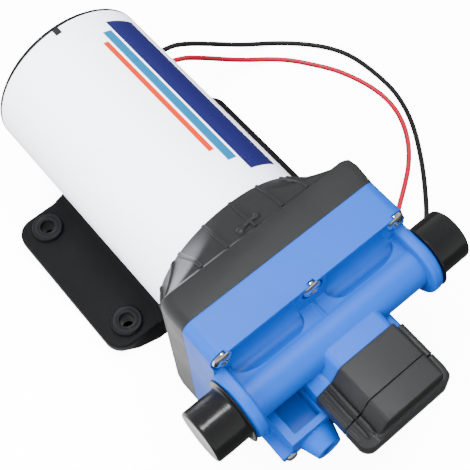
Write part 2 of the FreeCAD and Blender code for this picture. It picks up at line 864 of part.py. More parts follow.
def head_screw_places():
    side = head_half_width - screw_inset
    top, bottom = head_top - screw_inset, head_bottom + screw_inset
    return [(-side, top), (0, top), (side, top), (-side, bottom), (side, bottom),
            (middle_screw_x, middle_screw_z)]


def head_screws():
    screws = []
    seat = screw_seat
    for x, z in head_screw_places():
        head = cylinder_y(screw_head_radius, seat, seat - screw_head_height, x, z)
        crown = [edge for edge in head.Edges if edge.BoundBox.YMax < seat - screw_head_height + 0.01]
        head = head.makeFillet(screw_head_height * 0.6, crown)
        head = head.fuse(cylinder_y(screw_radius, seam_y + screw_reach, seat - 0.1, x, z))
        for turn in (0, 90):
            slot = block(x - 2.4, x + 2.4, seat - screw_head_height - 1, seat - screw_head_height + 1.6,
                         z - 0.55, z + 0.55)
            slot.rotate(V(x, 0, z), Y_AXIS, turn + 20)
            head = head.cut(slot)
        screws.append(head.removeSplitter())
    return screws


def switch_form(inset, corner, y_rear, y_front, lower_end, hump_front):
    """Body of the pressure switch, and of the boss that carries it, drawn in by an inset."""
    left, right = switch_left + inset, switch_right - inset
    rim, top = switch_rim_top - inset, switch_hump_top - inset
    upper = prism_y([(left, switch_step), (left, rim - 3.0), (left + 5.6, rim), (right, rim),
                     (right, switch_step)], y_rear, y_front)
    upper = upper.makeFillet(switch_corner, edges_along(upper, Y_AXIS, lambda middle: middle.x > 0))
    hump = prism_y([(switch_hump_left - hump_slope + inset, rim - 1.0), (switch_hump_left + inset, top),
                    (switch_hump_right - inset, top), (switch_hump_right + hump_draft - inset, rim - 1.0)],
                   y_rear, hump_front)
    hump = hump.makeFillet(corner, edges_along(hump, Y_AXIS, lambda middle: middle.z > switch_rim_top + 5))
    lower = block(lower_left + inset, lower_right - inset, lower_end, y_rear, switch_bottom + inset,
                  switch_step + 1)
    lower = lower.makeFillet(switch_corner, edges_along(lower, Y_AXIS, lambda middle: middle.z < switch_step))
    return upper, hump, lower


def oval(half_length, half_width, x, y, reach):
    """Upright oval prism, longer along X, that reaches as far below z = 0 as above it."""
    edge = Part.Ellipse(V(x, y, -reach), half_length, half_width).toShape()
    return Part.Face(Part.Wire(edge)).extrude(V(0, 0, 2 * reach))


def pocket(side):
    """Scoop in the web's top and the slab's face: an oval trough along X with oval ends."""
    inner = pocket_inner + pocket_inner_length
    outer = pocket_outer - pocket_end_length
    reach = head_top
    plan_y = head_front - pocket_plan_offset
    plan = oval(pocket_end_length, pocket_half_width, side * outer, plan_y, reach)
    plan = plan.fuse(oval(pocket_inner_length, pocket_half_width, side * inner, plan_y, reach))
    low, high = sorted((side * inner, side * outer))
    plan = plan.fuse(block(low, high, plan_y - pocket_half_width, plan_y + pocket_half_width, -reach, reach))
    trough = oval(pocket_half_height, pocket_half_depth, 0, 0, head_half_width)
    trough.rotate(V(0, 0, 0), Y_AXIS, 90)
    trough.translate(V(0, head_front - pocket_offset, web_top + pocket_lift))
    return trough.common(plan)


def tube_and_webs():
    """Cross tube, the web behind it with its two pockets, and the end plates."""
    web = block(-end_plate_face + end_plate_thickness, end_plate_face - end_plate_thickness,
                tube_y, head_front + 0.5, tube_height - tube_radius + 2.0, web_top)
    rib = block(-0.5, 0.5, tube_y, head_front + 0.5, web_top - 2, web_top + 0.5)
    tube = cylinder_x(tube_radius, -end_plate_face + 1, end_plate_face - 1, tube_y, tube_height)
    for side in (-1, 1):
        web = web.cut(pocket(side))
    form = web.fuse(rib).fuse(tube)
    for side in (-1, 1):
        low, high = sorted((side * (end_plate_face - end_plate_thickness), side * end_plate_face))
        disc = cylinder_x(end_plate_radius, low, high, tube_y, tube_height)
        cheek = block(low, high, tube_y, head_front + 0.5, tube_height - end_plate_radius,
                      tube_height + end_plate_radius)
        plate = disc.fuse(cheek).removeSplitter()
        rims = [edge for edge in plate.Edges if abs(edge.CenterOfMass.y - head_front) > 2
                and edge.BoundBox.XLength < 0.01 and edge.CenterOfMass.y < head_front]
        outer = [edge for edge in rims if abs(edge.CenterOfMass.x) > end_plate_face - 0.1]
        inner = [edge for edge in rims if abs(edge.CenterOfMass.x) < end_plate_face - 0.1]
        form = form.fuse(plate.makeFillet(end_plate_outer_round, outer).common(
            plate.makeFillet(end_plate_inner_round, inner)))
        low, high = sorted((side * (end_plate_face - 1), side * (end_plate_face + port_length)))
        form = form.fuse(cylinder_x(port_thread_radius, low, high, tube_y, tube_height))
    return form


def front_block():
    """Block under the tube on the left, with a framed recess and the bypass nozzle."""
    low = block(block_left, block_right, block_front, head_front + 0.5, block_bottom, block_top)
    low = low.makeFillet(block_edge, edges_along(low, Y_AXIS, lambda middle: middle.x < block_left + 1
                                                 and middle.z < block_bottom + 1))
    boss = cylinder_y(nozzle_base_radius, head_front + 0.5, block_front, nozzle_x, nozzle_z)
    frame = block(frame_left, frame_right, block_front, head_front + 0.5, block_top - 1, frame_top)
    form = low.fuse([frame, boss])
    recess = block(frame_left + frame_side_wall, frame_right - frame_wall * 0.6, block_front + frame_wall,
                   tube_y - 1.0, nozzle_z + bypass_bore + bypass_roof, frame_top + 1)
    nozzle = revolve_y([(0, block_front + 1), (nozzle_base_radius, block_front + 1),
                        (nozzle_base_radius, block_front), (nozzle_tip_radius, block_front - nozzle_length),
                        (0, block_front - nozzle_length)], nozzle_x, nozzle_z)
    form = form.cut(recess).fuse(nozzle)
    way = cylinder_y(block_screw_radius + thread_gap, block_front + block_screw_length + 1, block_front - 1,
                     block_screw_x, block_screw_z)
    return form.cut(way).removeSplitter()


def block_screw():
    """Small pan head screw in the front block."""
    x, z = block_screw_x, block_screw_z
    tip = block_front - block_screw_head_height
    head = cylinder_y(block_screw_head_radius, block_front, tip, x, z)
    crown = [edge for edge in head.Edges if edge.BoundBox.YMax < tip + 0.01]
    head = head.makeFillet(block_screw_head_height * 0.6, crown)
    head = head.fuse(cylinder_y(block_screw_radius, block_front + block_screw_length, block_front - 0.1, x,
                                z))
    for turn in (0, 90):
        slot = block(x - 1.5, x + 1.5, tip - 1, tip + 1.0, z - 0.35, z + 0.35)
        slot.rotate(V(x, 0, z), Y_AXIS, turn + 35)
        head = head.cut(slot)
    return head.removeSplitter()


def bypass_places():
    """Ends along Y of the bypass plug, spring and poppet, from the nozzle's tip inwards."""
    tip = block_front - nozzle_length
    plug_front = tip + 1.0
    plug_rear = plug_front + bypass_plug_length
    spring_rear = plug_rear + bypass_spring_length
    poppet_rear = spring_rear + bypass_poppet_length
    return tip, plug_front, plug_rear, spring_rear, poppet_rear


def upper_housing():
    slab = rounded_plate(0, seam_y, head_front)
    for side in (-1, 1):
        slab = slab.cut(pocket(side))
    form = slab.fuse(tube_and_webs()).fuse(front_block())
    upper, hump, lower = switch_form(boss_inset, boss_corner, tube_y, switch_rear, switch_rear, switch_rear)
    neck = block(block_right - 1, lower_right, tube_y - 1, head_front + 0.5, switch_bottom, tube_height)
    pip = cylinder_z(3.4, frame_top - 4, switch_rim_top - 3.0, -16.5, tube_y - tube_radius + 1.5)
    form = form.fuse(upper).fuse(hump).fuse(lower).fuse(neck).fuse(pip)
    form = form.cut(cylinder_y(diaphragm_radius + slip_gap, seam_y + 1, valve_front))
    outlet = outlet_valve_radius + 1.0
    form = form.cut(ring_y(diaphragm_radius - 2.0, outlet + gallery_wall, valve_front + 0.1, gallery_front))
    form = form.cut(cylinder_y(outlet, valve_front + 0.1, gallery_front))
    form = form.cut(water_ways())
    tip, plug_front, plug_rear, spring_rear, poppet_rear = bypass_places()
    form = form.cut(cylinder_y(bypass_bore, poppet_rear, tip - 1, nozzle_x, nozzle_z))
    form = form.cut(bypass_ways(poppet_rear))
    seat = screw_seat
    for x, z in head_screw_places():
        form = form.cut(cylinder_y(screw_radius + slip_gap, seam_y + 1, seat - 1, x, z))
        form = form.cut(cylinder_y(screw_head_radius + screw_seat_gap, seat, seat - driver_way, x, z))
    for x, z in switch_screw_places():
        form = form.cut(cylinder_y(switch_screw_radius + thread_gap, switch_rear + 8.5, switch_rear - 1, x,
                                   z))
    return form.removeSplitter()


def water_ways():
    """Bores of the two ports and the ways that join them to the galleries."""
    end = end_plate_face + port_length + 1
    start = port_partition / 2
    ways = cylinder_x(port_bore, -end, -start, tube_y, tube_height)
    ways = ways.fuse(cylinder_x(port_bore, start, end, tube_y, tube_height))
    way_radius = 3.5
    ways = ways.fuse(cylinder_y(way_radius, gallery_front + 0.5, tube_y, -18.0,
                                tube_height - port_bore + 0.5))
    lower = V(10.0, gallery_front + 0.5, axis_height + 8.0)
    upper = V(16.0, tube_y, tube_height - 2.0)
    ways = ways.fuse(Part.makeCylinder(way_radius, (upper - lower).Length, lower, upper - lower))
    return ways.fuse(cylinder_y(2.0, gallery_front + 0.5, switch_rear - 1, switch_x, axis_height))


def bypass_ways(seat_y):
    """Slanted way from the outlet gallery to the seat, and one back from beside it to the intake."""
    start = V(-outlet_valve_radius * 0.8, gallery_front + 0.5, axis_height - 3.0)
    end = V(nozzle_x, seat_y - 0.01, nozzle_z)
    pressure = Part.makeCylinder(bypass_port_radius, (end - start).Length, start, end - start)
    relief_x = nozzle_x - bypass_bore
    return pressure.fuse(cylinder_y(bypass_port_radius, gallery_front + 0.5, seat_y - 2.5, relief_x,
                                    nozzle_z))


def bypass_plug():
    tip, plug_front, plug_rear, spring_rear, poppet_rear = bypass_places()
    plug = cylinder_y(bypass_bore - thread_gap, plug_rear, plug_front, nozzle_x, nozzle_z)
    key = block(nozzle_x - 2.0, nozzle_x + 2.0, plug_front - 1, plug_front + 1.6, nozzle_z - 0.6,
                nozzle_z + 0.6)
    return plug.cut(key)


def bypass_spring():
    """Coil spring of the bypass, as a plain sleeve."""
    tip, plug_front, plug_rear, spring_rear, poppet_rear = bypass_places()
    return ring_y(bypass_bore - 0.4, bypass_bore - 1.2, spring_rear, plug_rear, nozzle_x, nozzle_z)


def bypass_poppet():
    tip, plug_front, plug_rear, spring_rear, poppet_rear = bypass_places()
    body = cylinder_y(bypass_bore - slip_gap, poppet_rear, spring_rear, nozzle_x, nozzle_z)
    return body.fuse(cylinder_y(bypass_bore - 1.5, spring_rear + 0.1, spring_rear - 4.0, nozzle_x, nozzle_z))


def port_cap(side):
    """Soft vinyl cap pushed over a port's thread, with a flange."""
    inner = port_thread_radius + slip_gap
    outer = inner + cap_wall
    face = end_plate_face + lift_gap
    end = end_plate_face + port_length + slip_gap + cap_end
    cap = Part.makeCylinder(outer, end - face, V(face, tube_y, tube_height), X_AXIS)
    rim = [edge for edge in cap.Edges if edge.BoundBox.XMin > end - 0.01]
    cap = cap.makeFillet(1.1, rim)
    cap = cap.fuse(Part.makeCylinder(cap_flange_radius, cap_flange_thickness, V(face, tube_y, tube_height),
                                     X_AXIS))
    bore = Part.makeCylinder(inner, end - cap_end - face + 1, V(face - 1, tube_y, tube_height), X_AXIS)
    cap = cap.cut(bore).removeSplitter()
    if side < 0:
        cap = cap.mirror(V(0, 0, 0), X_AXIS)
    return cap


def switch_cavity(y_rear, y_front):
    return block(switch_cavity_left, switch_cavity_right, y_front, y_rear, switch_cavity_bottom,
                 switch_cavity_top)


def switch_screw_places():
    inset = 3.8
    return [(lower_left + inset, switch_bottom + inset), (lower_right - inset, switch_bottom + inset)]


def switch_body():
    """Rear half of the switch, against the boss of the pump head."""
    front = switch_seam + seam_gap
    upper, hump, lower = switch_form(0, hump_corner, switch_rear, front, front, front)
    form = upper.fuse(hump).fuse(lower).removeSplitter()
    form = form.cut(switch_cavity(switch_rear - switch_wall, front - 1))
    form = form.cut(cylinder_y(plunger_radius + 0.6, switch_rear + 1, switch_rear - switch_wall - 1,
                               switch_x))
    form = form.cut(cylinder_y(switch_diaphragm_radius + slip_gap, switch_rear + 1,
                               switch_rear - switch_diaphragm_thickness, switch_x))
    for x, z in switch_screw_places():
        form = form.cut(cylinder_y(switch_screw_radius + slip_gap, switch_rear + 1, front - 1, x, z))
    grommet = cylinder_z(switch_grommet_radius - 1.0, switch_bottom - 1, switch_cavity_bottom + 1,
                         switch_x, switch_grommet_y)
    return form.cut(grommet)


def switch_cover():
    """Front half of the switch, with a shallow groove at the parting line."""
    upper, hump, lower = switch_form(0, hump_corner, switch_seam, switch_front, lower_front,
                                     switch_hump_front)
    plan = block(switch_left, switch_right, switch_front, switch_seam, switch_step - 1, switch_rim_top + 1)
    plan = plan.makeFillet(switch_front_corner,
                           edges_along(plan, Z_AXIS, lambda middle: middle.y < switch_seam))
    upper = upper.common(plan)
    form = upper.fuse(hump).fuse(lower).removeSplitter()
    form = form.cut(switch_cavity(switch_seam + 1, lower_front + switch_front_wall))
    form = form.cut(cylinder_y(adjuster_radius + thread_gap, switch_seam, lower_front - 1, switch_x))
    for x, z in switch_screw_places():
        form = form.cut(cylinder_y(switch_screw_radius + slip_gap, switch_seam + 1, lower_front - 1, x, z))
        form = form.cut(cylinder_y(switch_screw_head_radius + slip_gap,
                                   switch_screw_seat(), lower_front - 1, x, z))
    return form.fuse(ring_block(switch_seam + seam_gap, switch_seam))


def ring_block(y_rear, y_front):
    """Narrow frame on the cover that closes the parting groove inside."""
    outer = block(switch_cavity_left - 1.5, switch_cavity_right + 1.5, y_front, y_rear,
                  switch_cavity_bottom - 1.5, switch_cavity_top + 1.5)
    return outer.cut(switch_cavity(y_rear + 1, y_front - 1))


def switch_screw_seat():
    return lower_front + switch_screw_head_height + 0.6


def switch_screws():
    screws = []
    seat = switch_screw_seat()
    for x, z in switch_screw_places():
        screw = cylinder_y(switch_screw_head_radius, seat, seat - switch_screw_head_height, x, z)
        screw = screw.fuse(cylinder_y(switch_screw_radius, switch_rear + 8.0, seat - 0.1, x, z))
        slot = block(x - 1.8, x + 1.8, seat - switch_screw_head_height - 1,
                     seat - switch_screw_head_height + 1.0,
                     z - 0.4, z + 0.4)
        cross = slot.copy()
        cross.rotate(V(x, 0, z), Y_AXIS, 90)
        screws.append(screw.cut(slot.fuse(cross)).removeSplitter())
    return screws


def plunger_ends():
    rear = switch_rear - switch_diaphragm_thickness - 0.15
    return rear, rear - plunger_thickness


def switch_diaphragm():
    return cylinder_y(switch_diaphragm_radius, switch_rear, switch_rear - switch_diaphragm_thickness,
                      switch_x)


def switch_plunger():
    """Disc and stem, with an arm up to the microswitch's button."""
    rear, front = plunger_ends()
    arm_rear = switch_rear - switch_wall - lift_gap
    arm_front = button_rear() + lift_gap
    plunger = cylinder_y(plunger_radius, rear, front, switch_x)
    plunger = plunger.fuse(cylinder_y(plunger_stem_radius, front + 0.1, front - 4.0, switch_x))
    arm = block(switch_x - 2.5, switch_x + 2.5, arm_front, arm_rear,
                axis_height + switch_spring_radius + lift_gap,
                microswitch_bottom() + microswitch_height / 2 + 2.0)
    return plunger.fuse(arm).removeSplitter()


def microswitch_bottom():
    return switch_cavity_top - microswitch_height


def microswitch_rear():
    return button_rear() - button_stand


def button_rear():
    return switch_rear - switch_wall - lift_gap - 3.0


def microswitch():
    rear = microswitch_rear()
    bottom = microswitch_bottom()
    middle = bottom + microswitch_height / 2
    body = block(switch_x - microswitch_width / 2, switch_x + microswitch_width / 2,
                 rear - microswitch_depth, rear, bottom, bottom + microswitch_height)
    return body.cut(cylinder_y(button_radius + thread_gap, rear + 1, rear - 3.0, switch_x, middle))


def microswitch_button():
    middle = microswitch_bottom() + microswitch_height / 2
    return cylinder_y(button_radius, button_rear(), microswitch_rear() - 1.6, switch_x, middle)


def terminals():
    """Two flat tabs under the microswitch that the leads are crimped to."""
    bottom = microswitch_bottom()
    middle = microswitch_rear() - microswitch_depth / 2
    tabs = []
    for side in (-1, 1):
        x = switch_x + side * (microswitch_width / 2 - 2.0)
        tabs.append(block(x - terminal_thickness / 2, x + terminal_thickness / 2, middle - terminal_width / 2,
                          middle + terminal_width / 2, bottom - 7.0, bottom))
    return tabs


def adjuster_seat():
    return lower_front + switch_front_wall + 2.5


def switch_spring():
    """Coil spring between the plunger and the adjusting screw, as a plain sleeve."""
    rear, front = plunger_ends()
    return ring_y(switch_spring_radius, switch_spring_radius - 1.2, front, adjuster_seat(), switch_x)


def adjusting_screw():
    seat = adjuster_seat()
    screw = cylinder_y(switch_spring_radius, seat, seat - 1.5, switch_x)
    screw = screw.fuse(cylinder_y(adjuster_radius, seat - 1.4, lower_front + 1.0, switch_x))
    socket = cylinder_y(adjuster_radius * 0.5, lower_front + 3.5, lower_front, switch_x)
    return screw.cut(socket).removeSplitter()


def switch_grommet():
    """Rubber sleeve in the switch's underside that the leads pass into."""
    bottom = switch_bottom - switch_grommet_drop
    sleeve = cylinder_z(switch_grommet_radius, bottom, switch_bottom, switch_x, switch_grommet_y)
    neck = cylinder_z(switch_grommet_radius - 1.0 - slip_gap, bottom, switch_cavity_bottom - 0.5,
                      switch_x, switch_grommet_y)
    return sleeve.fuse(neck).removeSplitter()


def motor_grommet_core(grow):
    """Block through the can's wall, drawn larger by a clearance where it stands for the window."""
    half_y, half_z = motor_grommet_length / 2 + grow, motor_grommet_height / 2 + grow
    return block(motor_grommet_x - 4.0, motor_grommet_x + motor_grommet_reach, motor_grommet_y - half_y,
                 motor_grommet_y + half_y, motor_grommet_z - half_z, motor_grommet_z + half_z)


def motor_grommet():
    """Rubber block in the can's side, low at the back, where the leads come out."""
    core = motor_grommet_core(0)
    core = core.makeFillet(2.0, edges_along(core, X_AXIS, lambda middle: True))
    return core.cut(cylinder_y(can_inner, can_rear, can_front))


# Lead routes: chosen points of each lead from the motor to the switch
face_x = motor_grommet_x + motor_grommet_reach
floor_z = lead_radius + 0.05
grommet_z = switch_bottom - switch_grommet_drop
black_x, red_x = switch_x + lead_pitch / 2, switch_x - lead_pitch / 2
black_y, red_y = switch_grommet_y - 0.9, switch_grommet_y + 0.9
black_route = [
    (face_x, motor_grommet_y + motor_lead_pitch / 2, motor_grommet_z), (52.0, 61.0, 38.5), (62.0, 61.5, 31.5),
    (75.0, 61.2, 20.5), (87.0, 60.1, 10.5), (98.0, 57.2, 3.6), (110.5, 50.2, floor_z), (122.6, 39.0, floor_z),
    (132.0, 27.2, floor_z), (137.6, 14.5, floor_z), (139.2, -2.0, floor_z), (138.9, -16.0, floor_z),
    (136.0, -27.5, floor_z), (131.4, -38.5, floor_z), (124.4, -50.0, floor_z), (115.6, -62.3, floor_z),
    (107.6, -72.0, floor_z), (98.2, -82.6, floor_z), (87.2, -91.8, floor_z), (73.4, -98.8, floor_z),
    (57.0, -102.6, floor_z), (42.6, -107.8, floor_z), (30.6, -117.0, 1.9), (19.6, -128.2, 4.2),
    (12.0, -136.5, 6.5), (black_x + 2.5, black_y + 1.7, 12.5), (black_x, black_y - 0.1, 20.5),
    (black_x, black_y, grommet_z)]
red_route = [
    (face_x, motor_grommet_y - motor_lead_pitch / 2, motor_grommet_z), (52.0, 51.9, 37.6), (61.0, 52.3, 29.6),
    (72.0, 52.2, 19.2), (83.0, 51.0, 9.6), (93.0, 48.2, 3.4), (102.2, 42.9, floor_z), (110.4, 34.8, floor_z),
    (117.6, 24.6, floor_z), (124.2, 14.2, floor_z), (128.6, 3.2, floor_z), (131.4, -7.8, floor_z),
    (132.2, -18.2, floor_z), (130.6, -28.0, floor_z), (126.8, -37.4, floor_z), (120.6, -46.8, floor_z),
    (112.0, -55.6, floor_z), (101.8, -63.0, floor_z), (90.6, -70.2, floor_z), (78.0, -79.6, floor_z),
    (64.6, -87.4, floor_z), (50.6, -93.8, floor_z), (37.0, -102.0, floor_z), (26.0, -112.2, 1.9),
    (15.8, -123.2, 4.2), (8.6, -133.0, 6.8), (red_x + 2.5, red_y + 2.2, 12.5), (red_x, red_y - 0.1, 20.5),
    (red_x, red_y, grommet_z)]


def lead_path(points):
    """Straight runs joined by arcs; gives the wire and the radius of each arc."""
    corners = [V(*point) for point in points]
    edges, radii = [], []
    start = corners[0]
    for before, corner, after in zip(corners, corners[1:], corners[2:]):
        back, ahead = before - corner, after - corner
        half_turn = (math.pi - back.getAngle(ahead)) / 2
        shorter = min(back.Length, ahead.Length)
        reach = lead_turn_share * shorter
        radii.append(reach / math.tan(half_turn))
        enter = corner + back.normalize() * reach
        leave = corner + ahead.normalize() * reach
        inward = (back + ahead).normalize()
        sag = radii[-1] / math.cos(half_turn) - radii[-1]
        edges.append(Part.LineSegment(start, enter).toShape())
        edges.append(Part.Arc(enter, corner + inward * sag, leave).toShape())
        start = leave
    edges.append(Part.LineSegment(start, corners[-1]).toShape())
    return Part.Wire(edges), radii


def lead(name, points):
    path, radii = lead_path(points)
    first = path.Edges[0]
    profile = Part.Wire(Part.makeCircle(lead_radius, first.Vertexes[0].Point,
                                        first.tangentAt(first.FirstParameter)))
    tube = path.makePipeShell([profile], True, False)
    section = math.pi * lead_radius ** 2 * path.Length
    print(name, "length", round(path.Length, 1), "smallest radius", round(min(radii), 1),
          "radii", [round(radius, 1) for radius in radii], "volume share", round(tube.Volume / section, 4))
    return tube


def main():
    os.makedirs("parts", exist_ok=True)
    makers = [base_plate, base_screws, foot_grommets, motor_can, rear_end_bell, rear_bush, motor_magnets,
              armature_core, armature_winding, commutator, brush_plate, carbon_brushes, brush_springs,
              front_motor_plate, tie_bolts, front_bearing_outer, front_bearing_inner, front_bearing_balls,
              rotor_shaft, drive_cam, cam_set_screw, cam_bearing_inner, cam_bearing_outer, wobble_plate,
              pistons, piston_screws, cam_housing, housing_screws, diaphragm, valve_plate, intake_valves,
              outlet_valve, upper_housing, head_screws, block_screw, bypass_plug, bypass_spring,
              bypass_poppet,
              switch_body, switch_cover, switch_screws, switch_diaphragm, switch_plunger, switch_spring,
              microswitch, microswitch_button, terminals, adjusting_screw, switch_grommet, motor_grommet]
    for maker in makers:
        save(maker.__name__, maker())
    save("port_cap_left", port_cap(-1))
    save("port_cap_right", port_cap(1))
    save("lead_black", lead("lead_black", black_route))
    save("lead_red", lead("lead_red", red_route))


main()
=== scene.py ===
"""Looks of the diaphragm pump: materials, finer pieces, leads, light and camera round the CAD frame."""
import bpy
import bmesh
import math
from mathutils import Matrix, Vector, noise as roughness_noise


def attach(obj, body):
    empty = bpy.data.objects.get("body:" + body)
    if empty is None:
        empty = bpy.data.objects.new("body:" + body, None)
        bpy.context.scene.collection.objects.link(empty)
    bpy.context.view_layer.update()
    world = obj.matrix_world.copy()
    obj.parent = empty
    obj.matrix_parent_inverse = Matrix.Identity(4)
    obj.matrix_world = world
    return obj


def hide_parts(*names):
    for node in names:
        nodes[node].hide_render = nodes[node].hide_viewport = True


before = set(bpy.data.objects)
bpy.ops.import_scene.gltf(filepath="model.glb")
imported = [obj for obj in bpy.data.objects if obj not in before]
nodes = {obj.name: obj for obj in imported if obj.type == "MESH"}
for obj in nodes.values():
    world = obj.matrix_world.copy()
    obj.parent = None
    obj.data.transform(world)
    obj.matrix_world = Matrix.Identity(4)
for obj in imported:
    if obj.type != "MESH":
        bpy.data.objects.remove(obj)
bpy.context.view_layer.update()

MM = 0.001

# Places and sizes from the CAD, in millimetres
AXIS_Z = 50.4                                # height of the motor's axis
TUBE_Y, TUBE_Z = -116.05, 70.85              # axis of the cross tube with the ports
SCREW_SEAT = -102.9                          # y of the head screws' seat
HEAD_SCREWS = ((-44.6, 91.95, 20), (0, 91.95, 62), (44.6, 91.95, 38), (-44.6, 14.65, 5),
               (44.6, 14.65, 71), (40.1, 42.0, 50))    # x, z and turn of the cross in degrees
BLOCK_SCREW, BLOCK_SEAT = (-39.9, 44.6, 35), -138.1
FEET = ((-50, -32.5), (-50, 32.5), (50, -32.5), (50, 32.5))
PLATE_TOP = 7.5
CAP_FACE, CAP_END = 50.3, 67.4               # where a cap starts and ends along X
CAP_RADIUS, CAP_INNER, CAP_FLANGE = 11.8, 10.53, 14.2
SWITCH_BACK, SWITCH_FRONT, SWITCH_RIGHT = -131.9, -161.4, 25.2
SWITCH_SEAM = -148.9                         # parting line between switch body and cover
RIM_TOP = 68.3                               # level top of the switch's rim
LEAD_RADIUS = 1.3

# Finer pieces, in millimetres
BEAD_INSET, BEAD_WIDTH, BEAD_HEIGHT, BEAD_CORNER = 1.9, 3.4, 1.0, 4.2
STEP_WIDTH, STEP_HEIGHT = 0.9, 0.55
RIBS = ((-14.9, 68.75, 1.05), (-17.7, 68.0, 0.85), (-20.15, 65.5, 0.8))            # x, z, radius
NUBS = ((-5.5, -67.8, 94.2, 2.1, 1.3), (3.7, -66.5, 94.1, 1.6, 1.0))               # x, y, z, radius, rise
TAB_RADII, TAB_ENDS, TAB_START, TAB_STEP = (40.2, 40.72), (64.4, 68.05), -0.093, 0.011

# Printed bands on the can: colour, angle from the top in radians, ends along Y
BANDS = (((0.0065, 0.0066, 0.055), 0.50, 0.93, -44.0, 60.0),
         ((0.0, 0.085, 0.19), 0.35, 0.47, -36.0, 54.0),
         ((0.36, 0.016, 0.0), 0.25, 0.32, -28.0, 48.0))
WHITE_PAINT = (0.80, 0.81, 0.93)

# Surfaces: scale of the fine grain, and how far the roughness strays
GRAIN, ROUGH_SPREAD = 900.0, 0.06

# Floor: what the camera sees of it, and what the pump mirrors of it
FLOOR_SHADE, FLOOR_GLOW = 0.93, 9.0
FLOOR_MIRRORED, FLOOR_MIRRORED_LEFT = 0.15, 2.5
SHADOW_HALF_X, SHADOW_HALF_Y = 0.060, 0.040      # metres, half sizes of the painted shadow under the base plate
LEFT_REGION_X = (-0.075, -0.045)             # metres, where the left region fades out to the right
LEFT_REGION_Y = (-0.125, -0.095)             # metres, where it fades out to the front

# Camera, worked out from the photograph
PHOTO_SIZE = 470
FOCAL_LENGTH = 1069.4                        # pixels
OPTICAL_CENTRE = (256, 185)                  # pixels from the upper left
CAMERA_PLACE = (-120.68, -228.51, 472.27)    # millimetres
CAMERA_TURN = (2.4699, -0.9135, 0.2106)      # rotation vector, world to camera


# Node helpers for the materials

def link(tree, source, target):
    tree.links.new(source, target)


def noise(tree, coords, scale, detail=3.0, rough=0.55):
    node = tree.nodes.new("ShaderNodeTexNoise")
    node.inputs["Scale"].default_value = scale
    node.inputs["Detail"].default_value = detail
    node.inputs["Roughness"].default_value = rough
    link(tree, coords, node.inputs["Vector"])
    return node.outputs["Fac"]


def ranged(tree, value, low, high, to_low, to_high):
    node = tree.nodes.new("ShaderNodeMapRange")
    node.inputs["From Min"].default_value = low
    node.inputs["From Max"].default_value = high
    node.inputs["To Min"].default_value = to_low
    node.inputs["To Max"].default_value = to_high
    link(tree, value, node.inputs["Value"])
    return node.outputs["Result"]


def maths(tree, operation, first, second):
    node = tree.nodes.new("ShaderNodeMath")
    node.operation = operation
    for socket, value in zip(node.inputs, (first, second)):
        if isinstance(value, (int, float)):
            socket.default_value = value
        else:
            link(tree, value, socket)
    return node.outputs[0]


def mixed(tree, factor, first, second):
    node = tree.nodes.new("ShaderNodeMix")
    node.data_type = "RGBA"
    for socket, value in ((node.inputs[0], factor), (node.inputs[6], first), (node.inputs[7], second)):
        if isinstance(value, (int, float)):
            socket.default_value = value
        elif isinstance(value, (tuple, list)):
            socket.default_value = (*value[:3], 1)
        else:
            link(tree, value, socket)
    return node.outputs[2]


def object_coords(tree):
    return tree.nodes.new("ShaderNodeTexCoord").outputs["Object"]


def inside(tree, value, low, high, soft):
    """1 between two values and 0 outside them, with soft ends."""
    rising = ranged(tree, value, low - soft, low + soft, 0.0, 1.0)
    falling = ranged(tree, value, high - soft, high + soft, 1.0, 0.0)
    return maths(tree, "MULTIPLY", rising, falling)


